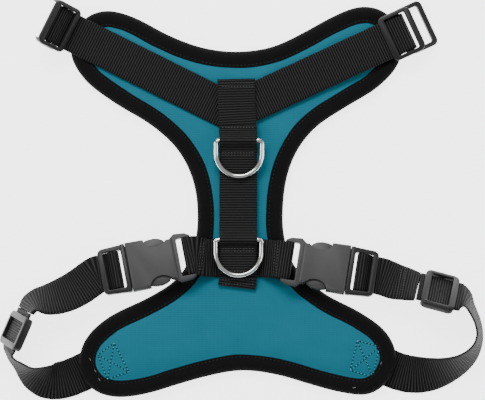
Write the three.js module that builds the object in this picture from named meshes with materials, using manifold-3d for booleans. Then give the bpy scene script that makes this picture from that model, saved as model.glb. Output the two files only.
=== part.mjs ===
// No pull harness, laid flat: an X-shaped padded chest panel, the back webbing with its two
// D-rings on top of it, two side release buckles and four strap adjusters.
// Units are millimetres, +Z is up, and the harness lies on the plane Z = 0.
import * as THREE from 'three';
import * as BufferGeometryUtils from 'three/addons/utils/BufferGeometryUtils.js';
import Module from 'manifold-3d';

const wasm = await Module();
wasm.setup();

// ---- driving dimensions -------------------------------------------------------------------
const GAP = 0.3;                    // air between pieces that touch on the real harness
const WEBBING = 25.4;               // webbing width, one inch
const WEB_T = 1.3;                  // webbing thickness
const LAYER = WEB_T + GAP;          // step from one webbing layer to the next

const PANEL_Z = WEB_T + GAP;        // the panel lies on the webbing ends sewn under its tips
const PANEL_T = 6.4;                // bound edge, over all
const LIP = 0.6;                    // binding tape thickness
const BINDING_W = 11;               // how far the binding reaches in from the edge
const LINING_T = 0.7;
const FACE_T = 0.7;
const PANEL_TOP = PANEL_Z + PANEL_T;

const SPINE_X = -3.2;               // middle of the back webbing
const FIRST_Z = PANEL_TOP + GAP + WEB_T / 2;   // middle of a strap that lies on the panel
const SECOND_Z = FIRST_Z + LAYER;
const THIRD_Z = SECOND_Z + LAYER;

const RING_WIRE = 1.65;             // D-ring wire radius
const RING_HALF = 15.35;            // half width of the D at the wire's middle
const RING_DEPTH = 24;              // from the D's straight bar to its far side
const RING_BARS = [                 // where each D-ring's bar lies, and how far the ring tips up
  { name: 'upper', x: -2.7, y: 40, z: THIRD_Z + LAYER / 2 + 0.15 + RING_WIRE, tip: 0 },
  { name: 'lower', x: -3.1, y: -26.6, z: SECOND_Z + 0.05 + LAYER / 2 + 0.15 + RING_WIRE, tip: 5 },
];

const BUCKLE_Z = 14;                // height of the buckles' middle
const BUCKLE_ROLL = 12;             // each buckle's front edge is lifted by its girth strap
const BUCKLES = [                   // mouth: where the socket ends and the plug begins
  { side: 'left', mouth: [-76.5, -45.5], heading: 191 },
  { side: 'right', mouth: [70.2, -47.2], heading: -9 },
];

const NECKS = [                     // foot: where the strap's middle line crosses the spine
  { side: 'left', foot: [-4, 57.2], heading: 153.5, slider: 133.7, sliderZ: 19.6, pitch: 42, ringTurn: 161.5, z: FIRST_Z },
  { side: 'right', foot: [-4, 60.7], heading: 24.8, slider: 121.6, sliderZ: 11, pitch: 0, ringTurn: 12, z: SECOND_Z },
];

// ---- materials ----------------------------------------------------------------------------
const LOOKS = {
  teal_mesh: { color: 0x1c8098, roughness: 0.9, metalness: 0 },
  foam: { color: 0xd9d6cc, roughness: 1, metalness: 0 },
  lining: { color: 0x202124, roughness: 0.95, metalness: 0 },
  binding: { color: 0x1d1d1f, roughness: 0.95, metalness: 0 },
  webbing: { color: 0x2a2a2c, roughness: 0.85, metalness: 0 },
  plastic: { color: 0x3c3c3e, roughness: 0.55, metalness: 0 },
  nickel: { color: 0xd4d4d6, roughness: 0.18, metalness: 1 },
};

// ---- helpers ------------------------------------------------------------------------------
const deg = THREE.MathUtils.degToRad;
const vec = (x, y, z) => new THREE.Vector3(x, y, z);

function heading2(angle) {
  return new THREE.Vector2(Math.cos(deg(angle)), Math.sin(deg(angle)));
}

function mesh(name, geometry, look) {
  const made = new THREE.Mesh(geometry, new THREE.MeshStandardMaterial(LOOKS[look]));
  made.name = name;
  return made;
}

function solid(geometry) {
  const bare = geometry.clone();
  bare.deleteAttribute('normal');
  bare.deleteAttribute('uv');
  const merged = BufferGeometryUtils.mergeVertices(bare, 1e-4);
  const vertProperties = new Float32Array(merged.attributes.position.array);
  const triVerts = new Uint32Array(merged.index.array);
  return new wasm.Manifold(new wasm.Mesh({ numProp: 3, vertProperties, triVerts }));
}

function fromSolid(body) {
  const cut = body.getMesh();
  const geometry = new THREE.BufferGeometry();
  geometry.setAttribute('position', new THREE.BufferAttribute(new Float32Array(cut.vertProperties), 3));
  geometry.setIndex(new THREE.BufferAttribute(new Uint32Array(cut.triVerts), 1));
  geometry.computeVertexNormals();
  return geometry;
}

function prism(points, low, high) {
  const shape = new THREE.Shape(points.map(([x, y]) => new THREE.Vector2(x, y)));
  const geometry = new THREE.ExtrudeGeometry(shape, { depth: high - low, bevelEnabled: false });
  return geometry.translate(0, 0, low);
}

// A prism whose top and bottom edges are rounded off by `round`.
function softPrism(points, low, high, round) {
  const shape = new THREE.Shape(points.map(([x, y]) => new THREE.Vector2(x, y)));
  const bevel = { bevelEnabled: true, bevelThickness: round, bevelSize: round, bevelOffset: -round };
  const options = { depth: high - low - 2 * round, bevelSegments: 2, curveSegments: 4, ...bevel };
  return new THREE.ExtrudeGeometry(shape, options).translate(0, 0, low + round);
}

function block(x0, x1, y0, y1, z0, z1) {
  const box = new THREE.BoxGeometry(x1 - x0, y1 - y0, z1 - z0);
  return box.translate((x0 + x1) / 2, (y0 + y1) / 2, (z0 + z1) / 2);
}

function roundedRect(x0, x1, y0, y1, radius, steps = 4) {
  const corners = [[x1, y1, 0], [x0, y1, 90], [x0, y0, 180], [x1, y0, 270]];
  const points = [];
  for (const [x, y, start] of corners) {
    const cx = x + (x === x1 ? -radius : radius);
    const cy = y + (y === y1 ? -radius : radius);
    for (let i = 0; i <= steps; i += 1) {
      const turn = heading2(start + (90 * i) / steps);
      points.push([cx + radius * turn.x, cy + radius * turn.y]);
    }
  }
  return points;
}

// Joins rings of points into one closed body. Each ring has the same number of corners. Opposite
// faces are split along the same diagonal, so twisted webbing keeps its thickness.
function skin(rings, closed) {
  const sides = rings[0].length;
  const position = rings.flat().flatMap((p) => [p.x, p.y, p.z]);
  const index = [];
  const last = closed ? rings.length : rings.length - 1;
  for (let i = 0; i < last; i += 1) {
    const here = i * sides;
    const next = ((i + 1) % rings.length) * sides;
    for (let j = 0; j < sides; j += 1) {
      const k = (j + 1) % sides;
      if (j < sides / 2) {
        index.push(here + j, here + k, next + k, here + j, next + k, next + j);
      } else {
        index.push(here + j, here + k, next + j, here + k, next + k, next + j);
      }
    }
  }
  if (!closed) {
    const end = (rings.length - 1) * sides;
    for (let j = 1; j < sides - 1; j += 1) {
      index.push(0, j + 1, j, end, end + j, end + j + 1);
    }
  }
  const geometry = new THREE.BufferGeometry();
  geometry.setAttribute('position', new THREE.Float32BufferAttribute(position, 3));
  geometry.setIndex(index);
  geometry.computeVertexNormals();
  return geometry;
}

// The direction of a path at station i, from its neighbours.
function pathTangent(stations, i) {
  const before = stations[Math.max(i - 1, 0)].at;
  const after = stations[Math.min(i + 1, stations.length - 1)].at;
  return after.clone().sub(before).normalize();
}

// Webbing along a path. A station has its middle point `at` and the direction `across` its width.
function ribbon(stations, width = WEBBING, thickness = WEB_T) {
  const rings = stations.map(({ at, across }, i) => {
    const along = pathTangent(stations, i);
    const half = across.clone().addScaledVector(along, -across.dot(along)).normalize().multiplyScalar(width / 2);
    const up = along.clone().cross(half).normalize().multiplyScalar(thickness / 2);
    const corner = (a, b) => at.clone().addScaledVector(half, a).addScaledVector(up, b);
    return [corner(-1, -1), corner(1, -1), corner(1, 1), corner(-1, 1)];
  });
  return skin(rings, false);
}

// The same path moved by `offset` along the webbing's own normal.
function layer(stations, offset) {
  return stations.map(({ at, across }, i) => {
    const up = pathTangent(stations, i).cross(across).normalize();
    return { at: at.clone().addScaledVector(up, offset), across };
  });
}

// ---- chest panel --------------------------------------------------------------------------
// The panel's edge: four rounded wing tips joined by a neck arch, two waists and a belly arch.
const PANEL_EDGE = [
  [-4, 99.9], [20, 103.3], [41, 113], [60, 123.4], [78, 130.3], [92, 128.7], [103, 119.5],
  [108, 106.5], [104.5, 91], [90.5, 75.6], [70, 63], [48.6, 48.6], [36.3, 33], [29.7, 16],
  [27, -4], [27.6, -24], [35, -45], [55, -63], [79, -75.6], [96.5, -88.8], [103.4, -104],
  [99.5, -119.5], [86, -130.9], [66.8, -129.8], [45.2, -124.2], [24, -118], [-1, -114.8],
  [-23.6, -118.6], [-44, -124.3], [-66, -130.8], [-86, -132.9], [-101.5, -127.8],
  [-110.4, -112.5], [-107, -95], [-92, -79.8], [-62.1, -64.8], [-44, -52.5], [-33.5, -34],
  [-30.6, -8], [-34.2, 15], [-44.5, 34.5], [-62, 50.5], [-86, 65], [-106.7, 81],
  [-116.2, 98], [-113.5, 114], [-104, 124.3], [-91, 127.8], [-73, 123], [-50, 111], [-27, 102.6],
];

function sampledEdge(count) {
  const points = PANEL_EDGE.map(([x, y]) => vec(x, y, 0));
  const curve = new THREE.CatmullRomCurve3(points, true, 'centripetal');
  return curve.getSpacedPoints(count).slice(0, count).map((p) => [p.x, p.y]);
}

// The edge moved inwards by `distance`. The edge runs clockwise, so inwards is to the right.
function insetEdge(edge, distance) {
  return edge.map(([x, y], i) => {
    const [xa, ya] = edge[(i + edge.length - 1) % edge.length];
    const [xb, yb] = edge[(i + 1) % edge.length];
    const run = new THREE.Vector2(xb - xa, yb - ya).normalize();
    return [x + run.y * distance, y - run.x * distance];
  });
}

function chestPanel() {
  const edge = sampledEdge(170);
  const low = PANEL_Z;
  const high = PANEL_TOP;
  const filling = insetEdge(edge, LIP + GAP + 0.1);
  const inside = [low + LIP, high - LIP];
  const liningZ = inside[0] + GAP;
  const faceZ = inside[1] - GAP - FACE_T;
  const foamZ = [liningZ + LINING_T + GAP, faceZ - GAP];

  const outer = solid(prism(edge, low, high));
  const channel = solid(prism(insetEdge(edge, LIP), inside[0], inside[1]));
  const middle = solid(prism(insetEdge(edge, BINDING_W), low - 1, high + 1));
  const binding = outer.subtract(channel).subtract(middle);
  return [
    mesh('panel_lining', prism(filling, liningZ, liningZ + LINING_T), 'lining'),
    mesh('panel_foam', prism(filling, foamZ[0], foamZ[1]), 'foam'),
    mesh('panel_face', prism(filling, faceZ, faceZ + FACE_T), 'teal_mesh'),
    mesh('edge_binding', fromSolid(binding), 'binding'),
  ];
}

// ---- back webbing -------------------------------------------------------------------------
// A strap that runs along Y, as a list of [x, y, z].
function alongY(points) {
  const across = vec(1, 0, 0);
  return points.map(([x, y, z]) => ({ at: vec(x, y, z), across }));
}

function spineWebbing() {
  const bottom = SECOND_Z + 0.05;
  return ribbon(alongY([
    [SPINE_X - 1.4, 81.3, THIRD_Z], [SPINE_X - 0.9, 62, THIRD_Z], [SPINE_X, 44, THIRD_Z],
    [SPINE_X, 36, THIRD_Z - 0.5], [SPINE_X, 27, THIRD_Z - 1.7], [SPINE_X, 15, FIRST_Z + 0.7],
    [SPINE_X, 2, FIRST_Z + 0.4], [SPINE_X, -10, FIRST_Z + 0.6], [SPINE_X, -20, bottom - 0.3],
    [SPINE_X, -26, bottom], [SPINE_X, -52, bottom], [SPINE_X - 1, -58.7, bottom - 0.6],
  ]));
}

// The upper layer of the spine, sewn down round both D-ring bars.
function spineOverlay() {
  const [upper, lower] = RING_BARS;
  const over = RING_WIRE + GAP + WEB_T / 2 + 0.1;
  const hump = (ring) => [
    [SPINE_X, ring.y + 2.1, ring.z + over * 0.66], [SPINE_X, ring.y, ring.z + over],
    [SPINE_X, ring.y - 2.1, ring.z + over * 0.66],
  ];
  const end = SECOND_Z + 0.05 + LAYER;
  return ribbon(alongY([
    [SPINE_X, 50, THIRD_Z + LAYER], [SPINE_X, upper.y + 5.4, THIRD_Z + LAYER + 0.1], ...hump(upper),
    [SPINE_X, upper.y - 5, THIRD_Z + LAYER], [SPINE_X, 27, THIRD_Z + LAYER - 1.5],
    [SPINE_X, 15, FIRST_Z + LAYER + 0.8], [SPINE_X, 2, FIRST_Z + LAYER + 0.4],
    [SPINE_X, -10, FIRST_Z + LAYER + 0.7], [SPINE_X, lower.y + 5.2, end], ...hump(lower),
    [SPINE_X, lower.y - 5.2, end], [SPINE_X, -50, end],
  ]));
}

function dRing(ring) {
  const corner = 2.4;
  const path = new THREE.CurvePath();
  const side = RING_DEPTH - RING_HALF;
  const line = (a, b) => path.add(new THREE.LineCurve3(vec(...a), vec(...b)));
  const bend = (a, c, b) => path.add(new THREE.QuadraticBezierCurve3(vec(...a), vec(...c), vec(...b)));
  line([-RING_HALF + corner, 0, 0], [RING_HALF - corner, 0, 0]);
  bend([RING_HALF - corner, 0, 0], [RING_HALF, 0, 0], [RING_HALF, -corner, 0]);
  line([RING_HALF, -corner, 0], [RING_HALF, -side, 0]);
  const bow = [];
  const bowSteps = 20;
  for (let i = 0; i <= bowSteps; i += 1) {
    const turn = heading2((-180 * i) / bowSteps);
    bow.push(vec(RING_HALF * turn.x, -side + RING_HALF * turn.y, 0));
  }
  for (let i = 0; i < bowSteps; i += 1) {
    path.add(new THREE.LineCurve3(bow[i], bow[i + 1]));
  }
  line([-RING_HALF, -side, 0], [-RING_HALF, -corner, 0]);
  bend([-RING_HALF, -corner, 0], [-RING_HALF, 0, 0], [-RING_HALF + corner, 0, 0]);

  const steps = path.curves.flatMap((curve) => {
    const count = curve instanceof THREE.QuadraticBezierCurve3 ? 3 : 1;
    return curve.getPoints(count).slice(0, count);
  });
  const wireSides = 12;
  const rings = steps.map((at, i) => {
    const before = steps[(i + steps.length - 1) % steps.length];
    const after = steps[(i + 1) % steps.length];
    const along = after.clone().sub(before).normalize();
    const out = along.clone().cross(vec(0, 0, 1));
    return Array.from({ length: wireSides }, (_, j) => {
      const turn = heading2((360 * j) / wireSides);
      return at.clone().addScaledVector(out, RING_WIRE * turn.x).add(vec(0, 0, RING_WIRE * turn.y));
    });
  });
  const made = mesh(`${ring.name}_d_ring`, skin(rings.reverse(), true), 'nickel');
  made.position.set(ring.x, ring.y, ring.z);
  made.rotation.x = -deg(ring.tip);
  return made;
}

// ---- strap adjusters and neck ends --------------------------------------------------------
// A local frame has x along the strap, y across it and z out of its upper face.
const SLIDER = { half: 11.7, wide: 15.8, bar: 4.2, slot: 13.1, barT: 1.8, middle: 1.9 };
const NECK_BAR = { x: 2.8, z: -5.5, r: 1.6 };          // the rectangular ring's inner bar
const NECK_RING = { reach: 18.6, wide: 16.2, bar: 3.6, slot: 13.2, halfT: 1.5 };
const TURN = NECK_BAR.r + GAP + WEB_T / 2;             // the strap's turn round that bar

// Side rails join two upper bars; the middle bar sits lower, so the strap passes between them.
function sliderGeometry() {
  const { half, wide, bar, slot, barT, middle } = SLIDER;
  const clear = WEB_T / 2 + GAP;
  const top = clear + barT;
  const outline = roundedRect(-half, half, -wide, wide, 4);
  const frame = solid(softPrism(outline, -top, top, 0.7));
  const window = solid(prism(roundedRect(-half + bar, half - bar, -slot, slot, 1.2), -top - 1, top + 1));
  const under = solid(block(-half - 1, half + 1, -slot, slot, -top - 1, clear));
  const centre = solid(block(-middle, middle, -slot - 1, slot + 1, -top, -clear));
  return fromSolid(frame.subtract(window).subtract(under).add(centre));
}

function rectangularRing() {
  const { reach, wide, bar, slot, halfT } = NECK_RING;
  const frame = solid(softPrism(roundedRect(-NECK_BAR.r, reach, -wide, wide, 3.6), -halfT, halfT, 0.8));
  const hole = roundedRect(-3, reach - bar, -slot, slot, 1.5);
  const open = frame.subtract(solid(prism(hole, -halfT - 1, halfT + 1)));
  const cylinder = new THREE.CylinderGeometry(NECK_BAR.r, NECK_BAR.r, 2 * wide - 2.4, 16);
  return fromSolid(open.add(solid(cylinder)));
}

// The vertical plane that a neck strap runs in: s along it, z up.
function neckFrame(neck) {
  const run = heading2(neck.heading);
  const tilt = heading2(neck.pitch);
  return {
    across: vec(-run.y, run.x, 0),
    world: (s, z) => vec(neck.foot[0] + run.x * s, neck.foot[1] + run.y * s, z),
    local(x, z) {
      return this.world(neck.slider + x * tilt.x - z * tilt.y, neck.sliderZ + x * tilt.y + z * tilt.x);
    },
  };
}

// From under the spine to the adjuster, through it, and down towards the ring's bar.
function neckStrap(neck) {
  const frame = neckFrame(neck);
  const pitched = neck.pitch > 0;
  const lift = pitched ? [[100, neck.z], [118, neck.z], [120.6, neck.z + 0.4]] : [[60, neck.z], [78, neck.sliderZ]];
  const lead = pitched ? -14.5 : -20;
  const flat = [[-9, neck.z], [20, neck.z], ...lift].map(([s, z]) => frame.world(s, z));
  const ends = [[lead, 0], [-6, 0], [1.2, 0], [3.4, -0.55], [4.9, -1.7], [5.55, -3.1]].map(([x, z]) => frame.local(x, z));
  const stations = [...flat, ...ends].map((at) => ({ at, across: frame.across }));
  return mesh(`${neck.side}_neck_strap`, ribbon(stations), 'webbing');
}

// Sewn under the wing tip, it runs out and turns up round the ring's bar to meet the neck strap.
function wingTab(neck) {
  const frame = neckFrame(neck);
  const sewn = neck.pitch > 0 ? [[100, 0], [123.8, 0], [127, 2]] : [[98, 0], [122.2, 0]];
  const start = sewn.map(([s, z]) => frame.world(s, WEB_T / 2 + z));
  const turn = [];
  for (let angle = neck.pitch > 0 ? -90 : -45; angle <= 0; angle += 22.5) {
    const way = heading2(angle);
    turn.push(frame.local(NECK_BAR.x + TURN * way.x, NECK_BAR.z + TURN * way.y));
  }
  turn.push(frame.local(5.65, -3.55));
  const stations = [...start, ...turn].map((at) => ({ at, across: frame.across }));
  return mesh(`${neck.side}_wing_tab`, ribbon(stations), 'webbing');
}

function neckHardware(neck) {
  const group = new THREE.Group();
  group.position.copy(neckFrame(neck).local(0, 0));
  group.rotation.set(0, -deg(neck.pitch), deg(neck.heading), 'ZYX');
  group.add(mesh(`${neck.side}_neck_slider`, sliderGeometry(), 'plastic'));
  const ring = mesh(`${neck.side}_neck_ring`, rectangularRing(), 'plastic');
  ring.position.set(NECK_BAR.x, 0, NECK_BAR.z);
  ring.rotation.y = deg(neck.ringTurn);
  group.add(ring);
  return group;
}

// ---- side release buckles -----------------------------------------------------------------
// Local frame: x out of the socket's mouth towards the plug, y across, z up.
const SOCKET = { back: -44.6, half: 16.6, halfT: 4.75, cavityY: 14.6, cavityZ: 2.9, cavityX: -28.4 };
const SOCKET_BAR = { x0: -43.6, x1: -39.6, slot: -34.2, y: 13.1 };
const PLUG = { end: 19.4, half: 16.4, endHalf: 15.3, slot: 13.1, outerBar: 15.9, neck: 3.6 };
const PLUG_BAR = { x0: 7.2, x1: 10.2 };
const WEB_BAR_T = 1.3;                                  // half thickness of each web bar
const PRONG_PIVOT = { x: -3.4, y: 10.6 };
const BAR_WRAP = WEB_BAR_T + GAP + WEB_T / 2;     // strap middle above or below a web bar

function mirrored(half) {
  return [...half, ...half.map(([x, y]) => [x, -y]).reverse()];
}

// The squeeze window in each side of the socket, a shallow arc.
function sideWindow(sign) {
  const arc = [[-12.4, 18], [-12.6, 14.6], [-14.4, 12], [-17.4, 10.4], [-21, 10], [-24.4, 10.8], [-27.6, 13], [-28.6, 18]];
  return solid(prism(arc.map(([x, y]) => [x, y * sign]), -8, 8));
}

function webBar(x0, x1, y) {
  return solid(softPrism([[x0, -y], [x1, -y], [x1, y], [x0, y]], -WEB_BAR_T, WEB_BAR_T, 0.5));
}

function socketGeometry() {
  const { back, half, halfT, cavityY, cavityZ, cavityX } = SOCKET;
  const body = mirrored([[0, half], [-12, 16.3], [-27, 13.6], [-29.6, 13.4], [-31.6, 14.4]]);
  const thick = solid(softPrism(body, -halfT, halfT, 1.3));
  const ladder = mirrored([
    [-29, 13.2], [-33.2, 16.6], [-40.5, 15.9], [-43.6, 14.2], [back, 11.6],
  ]);
  const thin = solid(softPrism(ladder, -2.5, 2.5, 0.9));
  const slot = solid(prism(roundedRect(SOCKET_BAR.x1, SOCKET_BAR.slot, -SOCKET_BAR.y, SOCKET_BAR.y, 1), -8, 8));
  const barSpace = solid(block(back - 1, SOCKET_BAR.x1 + 1.1, -SOCKET_BAR.y, SOCKET_BAR.y, -8, 8));
  const bar = webBar(SOCKET_BAR.x0, SOCKET_BAR.x1, SOCKET_BAR.y + 1);
  const cavity = solid(block(cavityX, 1, -cavityY, cavityY, -cavityZ, cavityZ));
  const frame = thin.subtract(barSpace).add(thick).subtract(slot).add(bar);
  return fromSolid(frame.subtract(cavity).subtract(sideWindow(1)).subtract(sideWindow(-1)));
}

function plugGeometry() {
  const { end, half, endHalf, slot, outerBar, neck } = PLUG;
  const outline = mirrored([
    [neck - 1, half], [16.6, endHalf + 0.3], [18.6, endHalf - 0.8], [end, endHalf - 2.6],
  ]);
  const frame = solid(softPrism(outline, -2.6, 2.6, 0.9));
  const shoulder = solid(softPrism(roundedRect(GAP, neck, -half, half, 0.9, 2), -3.9, 3.9, 0.9));
  const window = solid(prism(roundedRect(neck, outerBar, -slot, slot, 1.2), -8, 8));
  const underBar = solid(block(outerBar - 1, end + 1, -slot, slot, -8, -0.4));
  const bar = webBar(PLUG_BAR.x0, PLUG_BAR.x1, slot + 1);
  const tongue = solid(softPrism(roundedRect(-20, 1, -2.2, 2.2, 1.8), -2.2, 2.2, 0.6));
  const root = solid(block(PRONG_PIVOT.x + 1, 1, -14.1, 14.1, -2.4, 2.4));
  return fromSolid(frame.add(shoulder).subtract(window).subtract(underBar).add(bar).add(tongue).add(root));
}

// A springy arm with a finger pad that fills the socket's side window.
function prongGeometry(sign) {
  const outline = [
    [-2.9, 9], [-2.9, 12.6], [-10.8, 12.9], [-12.2, 13.4], [-12.95, 15.3], [-15.6, 15.95],
    [-19.6, 16.15], [-23, 15.4], [-25.6, 13.9], [-27.2, 11.2], [-26.6, 9.2], [-22, 8.2], [-12, 9.3],
  ];
  const shape = outline.map(([x, y]) => [x - PRONG_PIVOT.x, (y - PRONG_PIVOT.y) * sign]);
  return softPrism(shape, -2.5, 2.5, 0.7);
}

function buckleGroup({ mouth, heading }) {
  const group = new THREE.Group();
  const roll = heading > 90 ? BUCKLE_ROLL : -BUCKLE_ROLL;
  group.position.set(mouth[0], mouth[1], BUCKLE_Z);
  group.rotation.set(deg(roll), 0, deg(heading), 'ZYX');
  group.updateMatrixWorld(true);
  return group;
}

function buckle(spec) {
  const group = buckleGroup(spec);
  group.add(mesh(`${spec.side}_buckle_socket`, socketGeometry(), 'plastic'));
  group.add(mesh(`${spec.side}_buckle_plug`, plugGeometry(), 'plastic'));
  const back = spec.side === 'left' ? -1 : 1;
  for (const [name, sign] of [['rear', back], ['front', -back]]) {
    const prong = mesh(`${spec.side}_${name}_prong`, prongGeometry(sign), 'plastic');
    prong.position.set(PRONG_PIVOT.x, PRONG_PIVOT.y * sign, 0);
    group.add(prong);
  }
  return group;
}

// Stations given in a buckle's own frame, as [x, z], with the strap's width along `across`.
function inBuckle(spec, points, sign = 1) {
  const group = buckleGroup(spec);
  const across = vec(0, sign, 0).transformDirection(group.matrixWorld);
  return points.map(([x, z]) => ({ at: vec(x, 0, z).applyMatrix4(group.matrixWorld), across }));
}

// A strap's turn round a web bar whose edge is at x: from above it to below it.
function barTurn(x, sign) {
  const half = [[x - 0.5 * sign, BAR_WRAP + 0.1], [x + 0.9 * sign, BAR_WRAP - 0.35]];
  return [...half, [x + 1.3 * sign, 0], ...half.map(([px, z]) => [px, -z]).reverse()];
}

// Across the waist, folded back round the bar of each socket and sewn to itself.
function waistStrap() {
  const fold = [[SOCKET.back - 1, -BAR_WRAP], ...barTurn(SOCKET_BAR.x1, 1).reverse(), [SOCKET.back - 1, BAR_WRAP]];
  const [left, right] = BUCKLES;
  const leftFold = inBuckle(left, fold, -1);
  const rightFold = inBuckle(right, [...fold].reverse());
  const tipped = (x, y, z, roll) => ({ at: vec(x, y, z), across: vec(0, Math.cos(deg(roll)), -Math.sin(deg(roll))) });
  const middle = [
    tipped(-26, -38.6, 12.6, 7), tipped(-21.5, -38.9, 10.4, 3), tipped(-17.5, -39.1, FIRST_Z, 0),
    tipped(11, -39.1, FIRST_Z, 0), tipped(15, -39.3, 10.4, 3), tipped(19.5, -39.6, 12.6, 7),
  ];
  const leftTail = [tipped(-25.6, -38.6, 10.7, 5)];
  const rightTail = [tipped(19.1, -39.6, 10.7, 5)];
  return ribbon([...leftTail, ...leftFold, ...middle, ...rightFold, ...rightTail]);
}

// ---- girth straps -------------------------------------------------------------------------
// Each strap runs from its sewn end under the wing tip, round a bend where it stands on edge,
// through its adjuster and on to the buckle. Stations are [x, y, z, roll] of its middle line, and
// roll lifts the inner edge. The adjuster sits on a straight stretch, which starts `lead` before it.
const STRETCH = SLIDER.half + 3;
const GIRTHS = [
  {
    side: 'left', inner: -1, lead: 12.3, slider: { at: [-152.2, -87.8, 15.9], heading: 66.5, roll: 66 },
    bend: [
      [-78, -100.9, 0.65, 0], [-90, -107, 0.65, 0], [-102, -113.2, 0.65, 0], [-112.5, -118.2, 0.65, 0],
      [-119.5, -120.9, 0.75, 0], [-125, -121.9, 1.9, 5], [-130, -122, 4.4, 17], [-135.5, -120.8, 7.5, 32],
      [-141, -118.6, 9.9, 47], [-145.8, -115.6, 11.6, 62], [-150.2, -111.5, 12.8, 72], [-154.3, -107.6, 13.8, 78],
      [-156.9, -103.7, 14.8, 80], [-157.6, -101.4, 15.4, 75],
    ],
    run: [
      [-142.9, -69.6, 15.4, 60], [-137.6, -67.4, 14.6, 51], [-130, -66.2, 13.8, 38], [-121.5, -63.8, 13.1, 25],
      [-113, -60, 12.7, 16], [-106, -55.4, 12.5, 12], [-101.6, -52.2, 12.4, 12],
    ],
  },
  {
    side: 'right', inner: 1, lead: STRETCH, slider: { at: [132, -61.6, 13.9], heading: 165, roll: 45 },
    bend: [
      [72, -99.5, 0.65, 0], [84, -106, 0.65, 0], [96, -112, 0.65, 0], [106, -116, 0.65, 0],
      [113.5, -117.6, 1.9, 5], [121, -117.6, 4.3, 16], [130, -116.2, 7.5, 32], [139, -113.6, 9.8, 46],
      [147, -109.6, 11.2, 57], [153.4, -104, 12.1, 66], [157.6, -97, 12.7, 74], [158.9, -89.5, 13.1, 78],
      [157.4, -81.5, 13.4, 78], [155.2, -76.2, 13.6, 77], [152.95, -71.6, 13.8, 75], [151.6, -68.95, 13.9, 71],
      [150.15, -67.3, 13.9, 63], [148.3, -66.1, 13.9, 54],
    ],
    run: [
      [109, -55.9, 13.3, 33], [101.5, -54.2, 12.8, 22], [95.4, -52, 12.4, 14],
    ],
  },
];
const PLUG_TOP = [[22.5, -1.7], [17.6, -1.45], [14.8, -1.05], [12, 1], [10.4, BAR_WRAP]];
const PLUG_UNDER = [[10.4, -BAR_WRAP - 0.1], [14.8, -3], [17.6, -3.05], [22.5, -3.3]];

// More [x, y, z, roll] stations on a smooth curve through the given ones, `parts` to each gap. The
// lower edge stays clear of the plane that the harness lies on.
function refine(list, parts = 8) {
  const curve = new THREE.CatmullRomCurve3(list.map(([x, y, z]) => vec(x, y, z)), false, 'centripetal');
  const count = (list.length - 1) * parts;
  return Array.from({ length: count + 1 }, (_, i) => {
    const gap = Math.min(Math.floor(i / parts), list.length - 2);
    const roll = THREE.MathUtils.lerp(list[gap][3], list[gap + 1][3], i / parts - gap);
    const at = curve.getPoint(i / count);
    const lowest = (WEB_T * Math.cos(deg(roll)) + WEBBING * Math.sin(deg(roll))) / 2;
    return [at.x, at.y, Math.max(at.z, lowest), roll];
  });
}

function rollStations(list, inner) {
  const bare = list.map(([x, y, z]) => ({ at: vec(x, y, z) }));
  return bare.map(({ at }, i) => {
    const along = pathTangent(bare, i);
    const inside = vec(-along.y, along.x, 0).normalize().multiplyScalar(inner);
    const roll = deg(list[i][3]);
    return { at, across: inside.multiplyScalar(Math.cos(roll)).add(vec(0, 0, Math.sin(roll))) };
  });
}

function alongSlider({ slider }, distances) {
  const run = heading2(slider.heading);
  const [x, y, z] = slider.at;
  return distances.map((d) => [x + run.x * d, y + run.y * d, z, slider.roll]);
}

// The single layer, from the wing tip to just past the adjuster.
function girthStrap(girth) {
  const list = refine([...girth.bend, ...alongSlider(girth, [-girth.lead, 2 - girth.lead, 0, STRETCH])]);
  return mesh(`${girth.side}_girth_strap`, ribbon(rollStations(list, girth.inner)), 'webbing');
}

// The doubled layer, from the adjuster round the plug's web bar and back.
function girthLoop(girth, spec) {
  const top = rollStations(refine([...alongSlider(girth, [STRETCH + 0.9]), ...girth.run]), girth.inner);
  const under = layer(top, -LAYER * girth.inner).reverse();
  const turn = barTurn(PLUG_BAR.x0, -1);
  const wrap = inBuckle(spec, [...PLUG_TOP, ...turn, ...PLUG_UNDER], -girth.inner);
  return mesh(`${girth.side}_girth_loop`, ribbon([...top, ...wrap, ...under]), 'webbing');
}

function girthSlider(girth) {
  const [left, , right] = rollStations(alongSlider(girth, [-1, 0, 1]), girth.inner);
  const along = right.at.clone().sub(left.at).normalize();
  const across = left.across.clone().multiplyScalar(girth.inner);
  const made = mesh(`${girth.side}_girth_slider`, sliderGeometry(), 'plastic');
  made.position.set(...girth.slider.at);
  const basis = new THREE.Matrix4().makeBasis(along, across, along.clone().cross(across));
  made.quaternion.setFromRotationMatrix(basis);
  return made;
}

// ---- the harness --------------------------------------------------------------------------
function harness() {
  const group = new THREE.Group();
  group.add(...chestPanel());
  group.add(mesh('spine_webbing', spineWebbing(), 'webbing'));
  group.add(mesh('spine_overlay', spineOverlay(), 'webbing'));
  group.add(mesh('waist_strap', waistStrap(), 'webbing'));
  group.add(...RING_BARS.map(dRing));
  for (const neck of NECKS) {
    group.add(neckStrap(neck), wingTab(neck), neckHardware(neck));
  }
  BUCKLES.forEach((spec, i) => {
    group.add(buckle(spec), girthStrap(GIRTHS[i]), girthLoop(GIRTHS[i], spec), girthSlider(GIRTHS[i]));
  });
  group.updateMatrixWorld(true);
  const box = new THREE.Box3().setFromObject(group, true);
  const centre = box.getCenter(vec(0, 0, 0));
  group.position.set(-centre.x, -centre.y, -box.min.z);
  group.updateMatrixWorld(true);
  return group;
}

export default harness();
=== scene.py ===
import math

import bmesh
import bpy
import numpy as np
from mathutils import Matrix, Vector, geometry


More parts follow.
